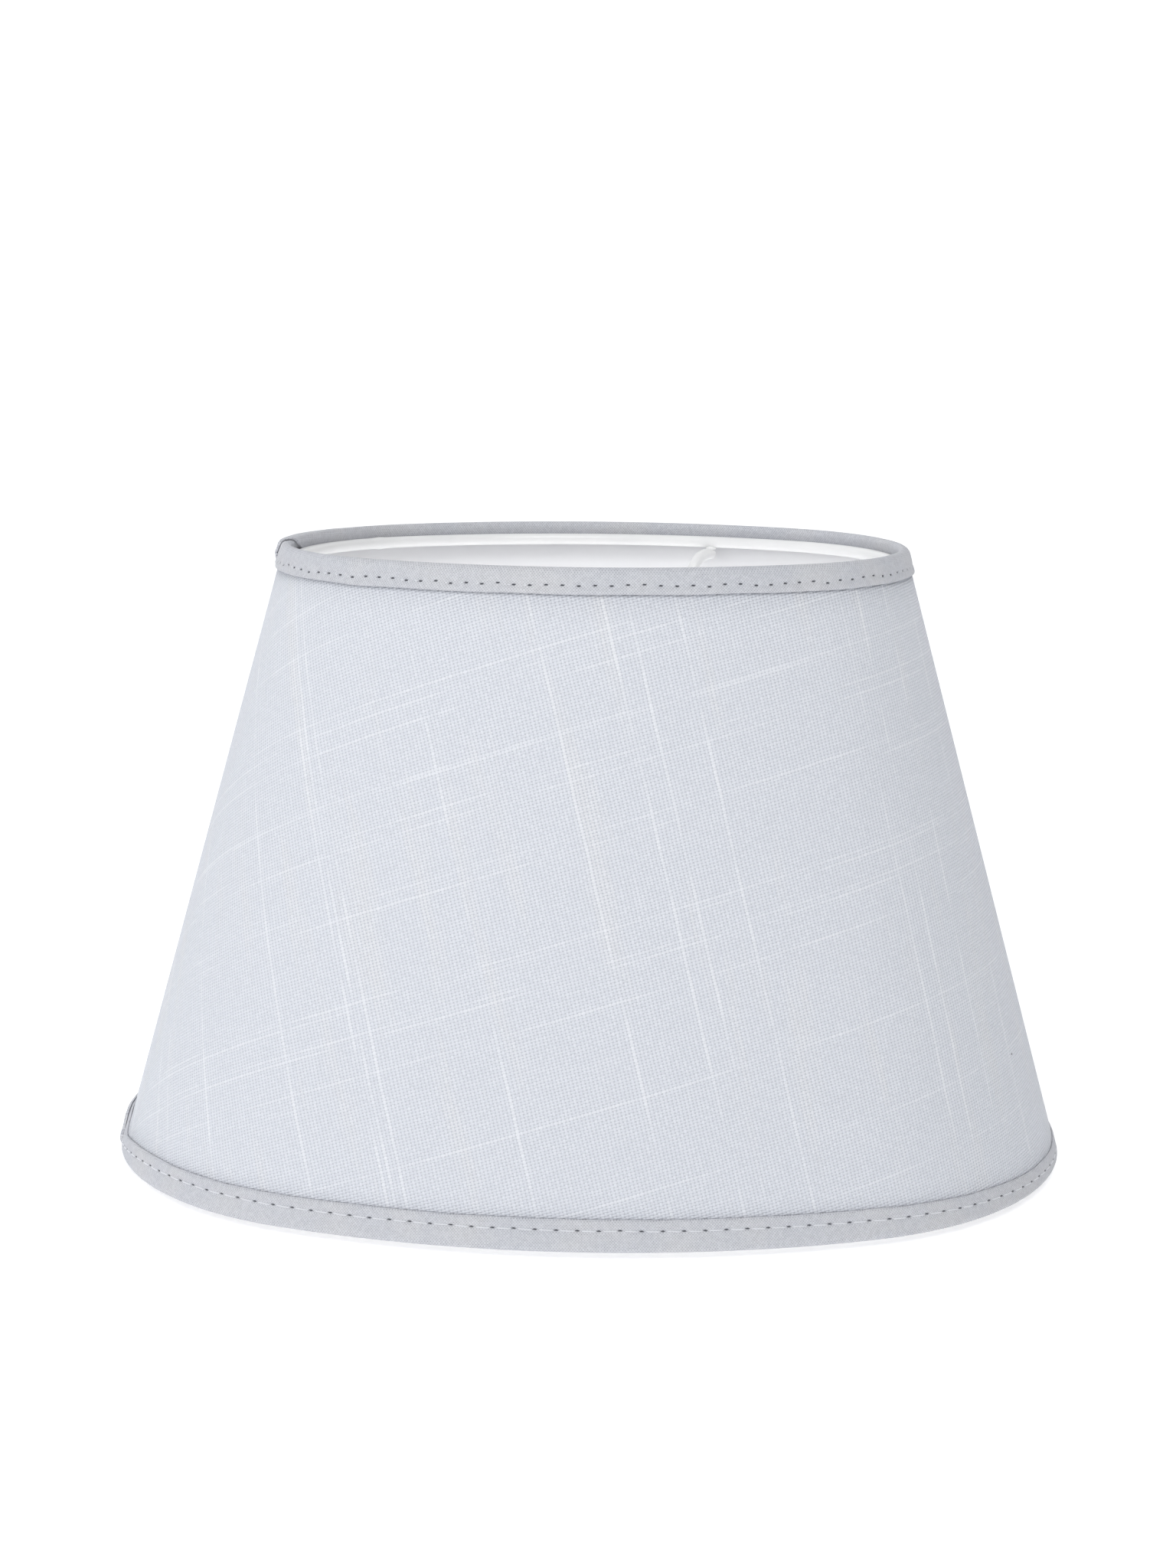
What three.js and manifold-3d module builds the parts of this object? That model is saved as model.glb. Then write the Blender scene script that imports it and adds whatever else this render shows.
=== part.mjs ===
// An oval, tapered lamp shade.
//
// A strip of linen-weave cloth is glued to a strip of white plastic liner, and the two are rolled into an
// oval cone whose ends lap at the left. Wire rings hold both edges to shape, and a folded tape is sewn over
// each edge. Three wire arms run down from the top ring to a hub band. A round fitter tilts in the hub band on
// two rivets, and a reducer ring lies in the fitter's hole.
//
// Units are millimetres and +Z is up. The floor under the shade is z = 0, the oval's long way is X, and the
// vertical middle line is x = y = 0.

import * as THREE from 'three';
import { mergeVertices } from 'three/addons/utils/BufferGeometryUtils.js';
import Module from 'manifold-3d';

// ---------------------------------------------------------------- driving dimensions

// The cloth's outer face is ruled between these two ovals, each of two round ends and two flatter sides.
// The ends' radius is smaller than the half width by endTuck.
const BASE_OVAL = { halfLength: 123.5, halfWidth: 85, endTuck: 8 };
const TOP_OVAL = { halfLength: 79, halfWidth: 55, endTuck: 7.5 };
const HEIGHT = 158.5;

// The wall, from the outside in.
const COVER_THICKNESS = 0.45;
const GLUE_LINE = 0.1;
const LINER_THICKNESS = 0.45;

// The wall's strip ends lap at the left end, and the outer end rises onto the inner one along LAP_RAMP.
// Angles are the outward normal's, in degrees and whole steps of ANGLE_STEP.
const ANGLE_STEP = 5;
const LAP_FROM = 170;
const LAP_TO = 180;
const LAP_RAMP = 20;
const LAP_GAP = 0.1;

// The tape folded over each edge.
const TAPE_THICKNESS = 1.2;
const TAPE_CLEARANCE = 0.15;
const TAPE_CORNER = 1;
const BOTTOM_TAPE = { outerDepth: 8.2, innerDepth: 7.6, stitchDepth: 5.7 };
const TOP_TAPE = { outerDepth: 6.3, innerDepth: 5.8, stitchDepth: 4.2 };
const THREAD_RADIUS = 0.2;
const THREAD_GAP = 0.05;

// The wire frame.
const WIRE_RADIUS = 1.5;
const WIRE_SIDES = 8;
const WIRE_GAP = 0.15;
const TOP_RING_DEPTH = 4.6;
const BOTTOM_RING_DEPTH = 5.2;
const ARM_NORMALS = { arm_left: 180, arm_front_right: -75, arm_back_right: 75 };
const ARM_SHELF = 8;
const ARM_STEPS = 12;

// The fitter: a flat ring with an upright rim. Everything round it is sized outwards from its hole.
const FITTER_HOLE_RADIUS = 21;
const FITTER_PLATE = 1;
const FITTER_RIM = 0.8;
const FITTER_RIM_OVER_RIVET = 0.7;

// The reducer ring for a narrower lampholder.
const REDUCER_HOLE_RADIUS = 14.4;
const REDUCER_FLANGE_LAP = 3.2;
const REDUCER_FLANGE_HEIGHT = 1.6;
const REDUCER_SPIGOT_CLEARANCE = 0.3;
const REDUCER_SPIGOT_RECESS = 0.2;
const REDUCER_SEAT_GAP = 0.1;
const REDUCER_TO_RIVET = 2.2;

// The two rivets that the fitter tilts on.
const RIVET_RADIUS = 1.5;
const RIVET_HEAD_RADIUS = 2.8;
const RIVET_HEAD_HEIGHT = 1.1;
const RIVET_END_GAP = 0.15;
const RIVET_TO_PLATE = 0.2;
const RIVET_RUNNING_CLEARANCE = 0.09;

// The hub band, whose middle height is the tilting axis.
const HUB_DROP = 30;
const HUB_THICKNESS = 1.2;
const HUB_HEIGHT = 8;
const HUB_SWING_GAP = 1.7;

const ROUND_SEGMENTS = 60;
const RIVET_SEGMENTS = 20;

// ---------------------------------------------------------------- sizes that follow from them

const WALL_THICKNESS = COVER_THICKNESS + GLUE_LINE + LINER_THICKNESS;
const LAP_RISE = WALL_THICKNESS + LAP_GAP;
const CLOTH_EDGE = TAPE_THICKNESS + TAPE_CLEARANCE;
const TAPE_OUTER_FACE = TAPE_CLEARANCE + TAPE_THICKNESS;
const TAPE_INNER_FACE = WALL_THICKNESS + TAPE_CLEARANCE + TAPE_THICKNESS;
const STEEPEST_LEAN = Math.atan((BASE_OVAL.halfLength - TOP_OVAL.halfLength) / HEIGHT);
const RING_INSET = TAPE_INNER_FACE + (WIRE_RADIUS + WIRE_GAP) / Math.cos(STEEPEST_LEAN);
const AXIS_HEIGHT = HEIGHT - HUB_DROP;

// From the fitter's hole outwards to the hub band.
const REDUCER_FLANGE_RADIUS = FITTER_HOLE_RADIUS + REDUCER_FLANGE_LAP;
const RIVET_INNER_END = REDUCER_FLANGE_RADIUS + REDUCER_TO_RIVET;
const RIVET_INNER_FACE = RIVET_INNER_END + RIVET_HEAD_HEIGHT;
const RIM_INNER_RADIUS = Math.hypot(RIVET_INNER_FACE + RIVET_END_GAP, RIVET_HEAD_RADIUS);
const FITTER_RADIUS = RIM_INNER_RADIUS + FITTER_RIM;
const HUB_INNER_RADIUS = FITTER_RADIUS + HUB_SWING_GAP;
const HUB_OUTER_RADIUS = HUB_INNER_RADIUS + HUB_THICKNESS;

// Heights of the fitter about the tilting axis.
const PLATE_TOP = -RIVET_HEAD_RADIUS - RIVET_TO_PLATE;
const PLATE_UNDER = PLATE_TOP - FITTER_PLATE;
const RIM_TOP = RIVET_HEAD_RADIUS + FITTER_RIM_OVER_RIVET;

// ---------------------------------------------------------------- the oval wall

// The point of an oval whose outward normal points at the given angle.
function ovalPoint({ halfLength, halfWidth, endTuck }, radians) {
  const endRadius = halfWidth - endTuck;
  const reach = halfLength - endRadius;
  const sideRadius = (reach ** 2 + halfWidth ** 2 - endRadius ** 2) / (2 * endTuck);
  const sideCentre = sideRadius - halfWidth;
  const endArcSine = Math.sin(Math.atan2(sideCentre, reach));
  const x = Math.cos(radians);
  const y = Math.sin(radians);
  if (Math.abs(y) <= endArcSine) {
    return new THREE.Vector2(endRadius * x + Math.sign(x) * reach, endRadius * y);
  }
  return new THREE.Vector2(sideRadius * x, sideRadius * y - Math.sign(y) * sideCentre);
}

// A point beyond the cloth's outer face by `outward`. A wire stays round when it takes the wall's place from
// one level for its whole section.
function wallPoint(degrees, outward, height, level = height) {
  const radians = THREE.MathUtils.degToRad(degrees);
  const spot = ovalPoint(BASE_OVAL, radians).lerp(ovalPoint(TOP_OVAL, radians), level / HEIGHT);
  const x = spot.x + outward * Math.cos(radians);
  const y = spot.y + outward * Math.sin(radians);
  return new THREE.Vector3(x, y, height);
}

// Keeps only positions and joins the vertices that meet.
function welded(geometry) {
  geometry.deleteAttribute('normal');
  geometry.deleteAttribute('uv');
  return mergeVertices(geometry);
}

// A closed ring round the wall. The section's points are (outward, height), anticlockwise. It is turned
// round a circle first, and each of its points then moves to the oval.
function ovalRing(section, { level, swell = () => 0 } = {}) {
  const circleRadius = 100;
  const points = [...section, section[0]].map(([outward, height]) => {
    return new THREE.Vector2(circleRadius + outward, height);
  });
  const ring = new THREE.LatheGeometry(points, 360 / ANGLE_STEP, Math.PI / 2);
  ring.rotateX(Math.PI / 2);
  const position = ring.attributes.position;
  const point = new THREE.Vector3();
  for (let i = 0; i < position.count; i += 1) {
    point.fromBufferAttribute(position, i);
    const turned = THREE.MathUtils.radToDeg(Math.atan2(point.y, point.x));
    const degrees = (Math.round(turned / ANGLE_STEP) * ANGLE_STEP + 360) % 360;
    const outward = Math.hypot(point.x, point.y) - circleRadius;
    const placed = wallPoint(degrees, outward + swell(degrees, outward), point.z, level);
    position.setXYZ(i, placed.x, placed.y, placed.z);
  }
  return welded(ring);
}

// 0 before `from`, 1 after `to`, and an even slope between them.
function ramp(degrees, from, to) {
  return THREE.MathUtils.clamp((degrees - from) / (to - from), 0, 1);
}

// A strip of the wall: cut flat, rolled once round the oval, and lapped over its own start. Its last
// stretch stands out by the wall's thickness so that it passes over the first.
function lappedStrip(outerFace, thickness) {
  const outline = [
    [outerFace - thickness, CLOTH_EDGE],
    [outerFace, CLOTH_EDGE],
    [outerFace, HEIGHT - CLOTH_EDGE],
    [outerFace - thickness, HEIGHT - CLOTH_EDGE],
  ];
  const shape = new THREE.Shape(outline.map(([x, y]) => new THREE.Vector2(x, y)));
  const length = 360 + LAP_TO - LAP_FROM;
  const options = { depth: length, steps: length / ANGLE_STEP, bevelEnabled: false };
  const strip = new THREE.ExtrudeGeometry(shape, options);
  const position = strip.attributes.position;
  const point = new THREE.Vector3();
  for (let i = 0; i < position.count; i += 1) {
    point.fromBufferAttribute(position, i);
    const degrees = 360 + LAP_TO - Math.round(point.z);
    const rise = LAP_RISE * ramp(degrees, 360 + LAP_FROM - LAP_RAMP, 360 + LAP_FROM);
    const placed = wallPoint(degrees, point.x + rise, point.y);
    position.setXYZ(i, placed.x, placed.y, placed.z);
  }
  return welded(strip);
}

// How far the outer side of a tape or thread stands out to pass over the wall's lap.
function lapSwell(degrees, outward) {
  if (outward < -WALL_THICKNESS / 2) {
    return 0;
  }
  const up = ramp(degrees, LAP_FROM - LAP_RAMP, LAP_FROM);
  const down = ramp(degrees, LAP_TO, LAP_TO + LAP_RAMP);
  return LAP_RISE * (up - down);
}

// ---------------------------------------------------------------- tapes, threads and wires

// The folded tape's section at the bottom edge, as (outward, height) with the fold lying on z = 0.
function tapeSection({ outerDepth, innerDepth }) {
  const outer = TAPE_OUTER_FACE;
  const inner = -TAPE_INNER_FACE;
  const slotOuter = TAPE_CLEARANCE;
  const slotInner = -WALL_THICKNESS - TAPE_CLEARANCE;
  return [
    [inner, TAPE_CORNER],
    [inner + TAPE_CORNER, 0],
    [outer - TAPE_CORNER, 0],
    [outer, TAPE_CORNER],
    [outer, outerDepth],
    [slotOuter, outerDepth],
    [slotOuter, TAPE_THICKNESS],
    [slotInner, TAPE_THICKNESS],
    [slotInner, innerDepth],
    [inner, innerDepth],
  ];
}

// The same section turned upside down for the top edge, still anticlockwise.
function atTop(section) {
  return section.map(([outward, depth]) => [outward, HEIGHT - depth]).reverse();
}

function roundSection(radius, sides, outward, height) {
  return Array.from({ length: sides }, (_, i) => {
    const turn = ((i + 0.5) / sides) * 2 * Math.PI;
    return [outward + radius * Math.cos(turn), height + radius * Math.sin(turn)];
  });
}

function wireRing(height) {
  return ovalRing(roundSection(WIRE_RADIUS, WIRE_SIDES, -RING_INSET, height), { level: height });
}

function seamThread(height) {
  const outward = TAPE_OUTER_FACE + THREAD_GAP + THREAD_RADIUS;
  return ovalRing(roundSection(THREAD_RADIUS, 4, outward, height), { swell: lapSwell });
}

// An arm lies under the top ring, runs level towards the middle, slopes down, and meets the hub level.
function wireArm(normalDegrees) {
  const ringHeight = HEIGHT - TOP_RING_DEPTH;
  const start = wallPoint(normalDegrees, -RING_INSET, ringHeight);
  start.z -= 2 * WIRE_RADIUS + WIRE_GAP;
  const outwards = new THREE.Vector3(start.x, start.y, 0).normalize();
  const end = outwards.clone().multiplyScalar(HUB_OUTER_RADIUS + WIRE_GAP);
  end.z = AXIS_HEIGHT;
  const run = Math.hypot(start.x - end.x, start.y - end.y);
  const shelf = Math.min(ARM_SHELF, run / 3);
  const shelfEnd = start.clone().addScaledVector(outwards, -shelf);
  const slopeEnd = end.clone().addScaledVector(outwards, shelf);
  const path = new THREE.CatmullRomCurve3([start, shelfEnd, slopeEnd, end]);
  const outline = roundSection(WIRE_RADIUS, WIRE_SIDES, 0, 0).map(([x, y]) => new THREE.Vector2(x, y));
  const options = { steps: ARM_STEPS, extrudePath: path };
  return welded(new THREE.ExtrudeGeometry(new THREE.Shape(outline), options));
}

// ---------------------------------------------------------------- hub, fitter and reducer

// A round ring about the middle line. The section's points are (radius, height), anticlockwise.
function roundRing(section) {
  const points = [...section, section[0]].map(([radius, height]) => new THREE.Vector2(radius, height));
  const ring = new THREE.LatheGeometry(points, ROUND_SEGMENTS);
  ring.rotateX(Math.PI / 2);
  return welded(ring);
}

const wasm = await Module();
wasm.setup();

function toSolid(geometry) {
  const vertProperties = new Float32Array(geometry.attributes.position.array);
  const triVerts = new Uint32Array(geometry.index.array);
  return new wasm.Manifold(new wasm.Mesh({ numProp: 3, vertProperties, triVerts }));
}

function toGeometry(solid) {
  const mesh = solid.getMesh();
  const geometry = new THREE.BufferGeometry();
  geometry.setAttribute('position', new THREE.BufferAttribute(mesh.vertProperties, 3));
  geometry.setIndex(new THREE.BufferAttribute(mesh.triVerts, 1));
  return geometry;
}

// Drills both rivet holes at once, along Y through the tilting axis, right through a ring.
function drilledForRivets(ring) {
  const radius = RIVET_RADIUS + RIVET_RUNNING_CLEARANCE;
  const length = 2 * (HUB_OUTER_RADIUS + RIVET_HEAD_HEIGHT);
  const drill = new THREE.CylinderGeometry(radius, radius, length, RIVET_SEGMENTS);
  return toGeometry(toSolid(ring).subtract(toSolid(welded(drill))));
}

function hubBand() {
  const band = roundRing([
    [HUB_INNER_RADIUS, -HUB_HEIGHT / 2],
    [HUB_OUTER_RADIUS, -HUB_HEIGHT / 2],
    [HUB_OUTER_RADIUS, HUB_HEIGHT / 2],
    [HUB_INNER_RADIUS, HUB_HEIGHT / 2],
  ]);
  return drilledForRivets(band);
}

function fitterRing() {
  const ring = roundRing([
    [FITTER_HOLE_RADIUS, PLATE_UNDER],
    [FITTER_RADIUS, PLATE_UNDER],
    [FITTER_RADIUS, RIM_TOP],
    [RIM_INNER_RADIUS, RIM_TOP],
    [RIM_INNER_RADIUS, PLATE_TOP],
    [FITTER_HOLE_RADIUS, PLATE_TOP],
  ]);
  return drilledForRivets(ring);
}

// A rivet along +Y, with a head inside the fitter's rim and one outside the hub band.
function rivet() {
  const outerFace = HUB_OUTER_RADIUS + RIVET_END_GAP;
  const profile = [
    [0, RIVET_INNER_END],
    [RIVET_HEAD_RADIUS, RIVET_INNER_END],
    [RIVET_HEAD_RADIUS, RIVET_INNER_FACE],
    [RIVET_RADIUS, RIVET_INNER_FACE],
    [RIVET_RADIUS, outerFace],
    [RIVET_HEAD_RADIUS, outerFace],
    [RIVET_HEAD_RADIUS, outerFace + RIVET_HEAD_HEIGHT],
    [0, outerFace + RIVET_HEAD_HEIGHT],
  ];
  const points = profile.map(([radius, along]) => new THREE.Vector2(radius, along));
  return welded(new THREE.LatheGeometry(points, RIVET_SEGMENTS));
}

// The reducer's flange lies on the fitter's plate, and its spigot drops into the fitter's hole.
function reducerRing() {
  const spigotRadius = FITTER_HOLE_RADIUS - REDUCER_SPIGOT_CLEARANCE;
  const spigotEnd = PLATE_UNDER + REDUCER_SPIGOT_RECESS;
  const flangeUnder = PLATE_TOP + REDUCER_SEAT_GAP;
  const flangeTop = flangeUnder + REDUCER_FLANGE_HEIGHT;
  return roundRing([
    [REDUCER_HOLE_RADIUS, spigotEnd],
    [spigotRadius, spigotEnd],
    [spigotRadius, flangeUnder],
    [REDUCER_FLANGE_RADIUS, flangeUnder],
    [REDUCER_FLANGE_RADIUS, flangeTop],
    [REDUCER_HOLE_RADIUS, flangeTop],
  ]);
}

// ---------------------------------------------------------------- the assembly

const linen = { color: 0xe3e6ee, roughness: 0.95, metalness: 0 };
const tape = { color: 0xd2d4da, roughness: 0.95, metalness: 0 };
const thread = { color: 0xf2f3f6, roughness: 0.8, metalness: 0 };
const liner = { color: 0xf6f6f4, roughness: 0.5, metalness: 0 };
const whiteWire = { color: 0xf0f0ee, roughness: 0.35, metalness: 0 };
const plated = { color: 0xc4c6c8, roughness: 0.3, metalness: 1 };
const plastic = { color: 0xf2f2f0, roughness: 0.4, metalness: 0 };

function piece(name, geometry, finish) {
  const mesh = new THREE.Mesh(geometry, new THREE.MeshStandardMaterial(finish));
  mesh.name = name;
  return mesh;
}

const shade = new THREE.Group();

// The wall.
const linerFace = -COVER_THICKNESS - GLUE_LINE;
shade.add(piece('cover', lappedStrip(0, COVER_THICKNESS), linen));
shade.add(piece('liner', lappedStrip(linerFace, LINER_THICKNESS), liner));

// The edges.
const bottomTape = ovalRing(tapeSection(BOTTOM_TAPE), { swell: lapSwell });
const topTape = ovalRing(atTop(tapeSection(TOP_TAPE)), { swell: lapSwell });
shade.add(piece('bottom_binding', bottomTape, tape));
shade.add(piece('top_binding', topTape, tape));
shade.add(piece('bottom_seam_thread', seamThread(BOTTOM_TAPE.stitchDepth), thread));
shade.add(piece('top_seam_thread', seamThread(HEIGHT - TOP_TAPE.stitchDepth), thread));

// The wire frame.
shade.add(piece('bottom_ring', wireRing(BOTTOM_RING_DEPTH), whiteWire));
shade.add(piece('top_ring', wireRing(HEIGHT - TOP_RING_DEPTH), whiteWire));
for (const [name, normalDegrees] of Object.entries(ARM_NORMALS)) {
  shade.add(piece(name, wireArm(normalDegrees), whiteWire));
}

// The carrier, built about the tilting axis.
const carrier = new THREE.Group();
carrier.position.z = AXIS_HEIGHT;
carrier.add(piece('hub_band', hubBand(), whiteWire));
carrier.add(piece('fitter_ring', fitterRing(), whiteWire));
carrier.add(piece('rivet_back', rivet(), plated));
const frontRivet = piece('rivet_front', rivet(), plated);
frontRivet.rotation.z = Math.PI;
carrier.add(frontRivet);
carrier.add(piece('reducer_ring', reducerRing(), plastic));
shade.add(carrier);

export default shade;
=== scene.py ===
# An oval lamp shade: linen-weave cloth glued to a white plastic liner, rolled into a tapered wall whose ends
# lap at the left, bound with stitched bias tape, stiffened by two wire rings, and carried by a tilting fitter.
from math import atan2, cos, exp, floor, hypot, pi, radians, sin, tau

import bmesh
import bpy
import numpy as np
from mathutils import Matrix, Vector, noise


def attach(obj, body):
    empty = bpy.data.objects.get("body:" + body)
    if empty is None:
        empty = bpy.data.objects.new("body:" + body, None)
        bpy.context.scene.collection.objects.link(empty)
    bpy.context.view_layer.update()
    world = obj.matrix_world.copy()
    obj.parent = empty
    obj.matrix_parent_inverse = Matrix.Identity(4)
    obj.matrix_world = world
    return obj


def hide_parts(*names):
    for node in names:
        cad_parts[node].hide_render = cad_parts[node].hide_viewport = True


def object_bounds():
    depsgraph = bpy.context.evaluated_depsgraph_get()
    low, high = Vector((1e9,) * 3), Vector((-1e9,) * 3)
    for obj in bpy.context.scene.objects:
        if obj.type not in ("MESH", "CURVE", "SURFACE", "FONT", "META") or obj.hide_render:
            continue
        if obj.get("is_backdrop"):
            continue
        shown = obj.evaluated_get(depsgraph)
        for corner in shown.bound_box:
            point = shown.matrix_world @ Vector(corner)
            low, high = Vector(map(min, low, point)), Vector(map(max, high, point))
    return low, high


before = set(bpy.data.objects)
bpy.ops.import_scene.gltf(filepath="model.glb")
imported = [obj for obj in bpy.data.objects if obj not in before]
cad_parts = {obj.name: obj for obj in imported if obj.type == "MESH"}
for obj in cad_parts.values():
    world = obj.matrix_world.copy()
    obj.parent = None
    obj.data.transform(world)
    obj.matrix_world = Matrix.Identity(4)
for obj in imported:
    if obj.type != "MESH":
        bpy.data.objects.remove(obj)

MM = 0.001
cad_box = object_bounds()


# ------------------------------------------------------------------ the wall that every piece follows
# The cloth's outer face is ruled between two ovals, each of two round ends and two flatter sides. A place on
# it is given by the angle of its outward normal, its distance outwards from the cloth, and its height.

BASE_OVAL = (123.5 * MM, 85 * MM, 8 * MM)
TOP_OVAL = (79 * MM, 55 * MM, 7.5 * MM)
WALL_HEIGHT = 158.5 * MM

COVER_THICKNESS = 0.45 * MM
GLUE_LINE = 0.1 * MM
LINER_THICKNESS = 0.45 * MM
WALL_THICKNESS = COVER_THICKNESS + GLUE_LINE + LINER_THICKNESS

# The strip's under end starts at LAP_FROM and its over end stops at LAP_TO, one turn later.
LAP_FROM = radians(167)
LAP_TO = radians(176)
LAP_RAMP = radians(20)
LAP_RISE = WALL_THICKNESS + 0.1 * MM


def end_radius(oval):
    return oval[1] - oval[2]


def side_radius(oval):
    reach = oval[0] - end_radius(oval)
    return (reach**2 + oval[1] ** 2 - end_radius(oval) ** 2) / (2 * oval[2])


def turning_sine(oval):
    """The sine of the normal's angle where a round end meets a side."""
    reach = oval[0] - end_radius(oval)
    return sin(atan2(side_radius(oval) - oval[1], reach))


def oval_point(oval, angle):
    x, y = cos(angle), sin(angle)
    if abs(y) <= turning_sine(oval):
        reach = oval[0] - end_radius(oval)
        return end_radius(oval) * x + (reach if x > 0 else -reach), end_radius(oval) * y
    centre = side_radius(oval) - oval[1]
    return side_radius(oval) * x, side_radius(oval) * y - (centre if y > 0 else -centre)


def wall_point(angle, outward, height, level=None):
    """A point beyond the cloth's outer face. A round wire takes its place from one level."""
    k = (height if level is None else level) / WALL_HEIGHT
    low, high = oval_point(BASE_OVAL, angle), oval_point(TOP_OVAL, angle)
    x = low[0] + (high[0] - low[0]) * k + outward * cos(angle)
    y = low[1] + (high[1] - low[1]) * k + outward * sin(angle)
    return Vector((x, y, height))


def ramp(value, start, end):
    """0 before start, 1 after end, and a smooth rise between them."""
    t = min(max((value - start) / (end - start), 0), 1)
    return t * t * (3 - 2 * t)


# ------------------------------------------------------------------ cover
# One panel of plain-weave slub cloth, bluish white. It is cut on its own grain as a curved strip, glued to the
# liner and rolled round; its end is turned in and lies over its start at the left.

STRIP_STEPS = 736
CLOTH_EDGE = 1.35 * MM


def rolled(columns, rows, place, chart=None, hole=None):
    """A grid whose point (i, j) goes to place(i, j), with its UV at chart(i, j) and a needle-hole mark of
    hole(i, j), which a finish can read to paint shade into the holes. Edges that meet are joined."""
    shape = bmesh.new()
    uv = shape.loops.layers.uv.new("cloth") if chart else None
    mark = shape.verts.layers.float.new("needle_hole_shade") if hole else None
    bmesh.ops.create_grid(shape, x_segments=columns, y_segments=rows, size=0.5)
    spots = {v: (round((v.co.x + 0.5) * columns), round((v.co.y + 0.5) * rows)) for v in shape.verts}
    if chart:
        for face in shape.faces:
            for loop in face.loops:
                loop[uv].uv = chart(*spots[loop.vert])
    if hole:
        for vert, spot in spots.items():
            vert[mark] = hole(*spot)
    for vert, spot in spots.items():
        vert.co = place(*spot)
    bmesh.ops.remove_doubles(shape, verts=shape.verts, dist=0.002 * MM)
    return shape


def strip_angle(i):
    return LAP_FROM + (LAP_TO + tau - LAP_FROM) * i / STRIP_STEPS


def strip_rise(i):
    """How far the strip stands out to pass over its own start. Its turned-in end is rounded over."""
    rise = LAP_RISE * ramp(strip_angle(i), tau + LAP_FROM - LAP_RAMP, tau + LAP_FROM)
    return rise - 0.35 * MM * max(i - STRIP_STEPS + 1, 0)


def laid_flat():
    """The wall's rulings laid flat, one (bottom point, top point) for each step of the strip. The ruling in
    the middle of the front stands upright at x = 0."""
    lows = [wall_point(strip_angle(i), 0, 0) for i in range(STRIP_STEPS + 1)]
    highs = [wall_point(strip_angle(i), 0, WALL_HEIGHT) for i in range(STRIP_STEPS + 1)]
    flat = [(Vector((0, 0)), Vector((0, (highs[0] - lows[0]).length)))]
    for i in range(STRIP_STEPS):
        up = (highs[i] - lows[i]).normalized()
        step = lows[i + 1] - lows[i]
        side = (step - up * step.dot(up)).normalized()
        flat_up = (flat[i][1] - flat[i][0]).normalized()
        flat_side = Vector((flat_up.y, -flat_up.x))
        reaches = [point - lows[i] for point in (lows[i + 1], highs[i + 1])]
        flat.append(tuple(flat[i][0] + flat_side * r.dot(side) + flat_up * r.dot(up) for r in reaches))
    front = min(range(STRIP_STEPS), key=lambda i: abs(strip_angle(i) - 1.5 * pi))
    foot, head = flat[front]
    turn = Matrix.Rotation(atan2(head.x - foot.x, head.y - foot.y), 2)
    return [(turn @ (low - foot), turn @ (high - foot)) for low, high in flat]


RULINGS = laid_flat()


def wall_strip(outer_face):
    """The rolled strip's outer face, between the folds of the two bindings."""
    rows = 12

    def height(j):
        return CLOTH_EDGE + (WALL_HEIGHT - 2 * CLOTH_EDGE) * j / rows

    def place(i, j):
        return wall_point(strip_angle(i), outer_face + strip_rise(i), height(j))

    def chart(i, j):
        bottom, top = RULINGS[i]
        return bottom.lerp(top, height(j) / WALL_HEIGHT)

    return rolled(STRIP_STEPS, rows, place, chart)


def add_object(name, shape, material):
    """A smooth-shaded object at the origin that holds a finished bmesh."""
    mesh = bpy.data.meshes.new(name)
    shape.to_mesh(mesh)
    shape.free()
    mesh.shade_smooth()
    mesh.materials.append(material)
    piece = bpy.data.objects.new(name, mesh)
    bpy.context.scene.collection.objects.link(piece)
    return piece


def thickened(piece, thickness):
    """Gives a sheet its thickness, inwards from its outer face."""
    modifier = piece.modifiers.new("thickness", "SOLIDIFY")
    modifier.thickness = thickness
    modifier.offset = -1
    modifier.use_even_offset = True
    return piece


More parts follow.
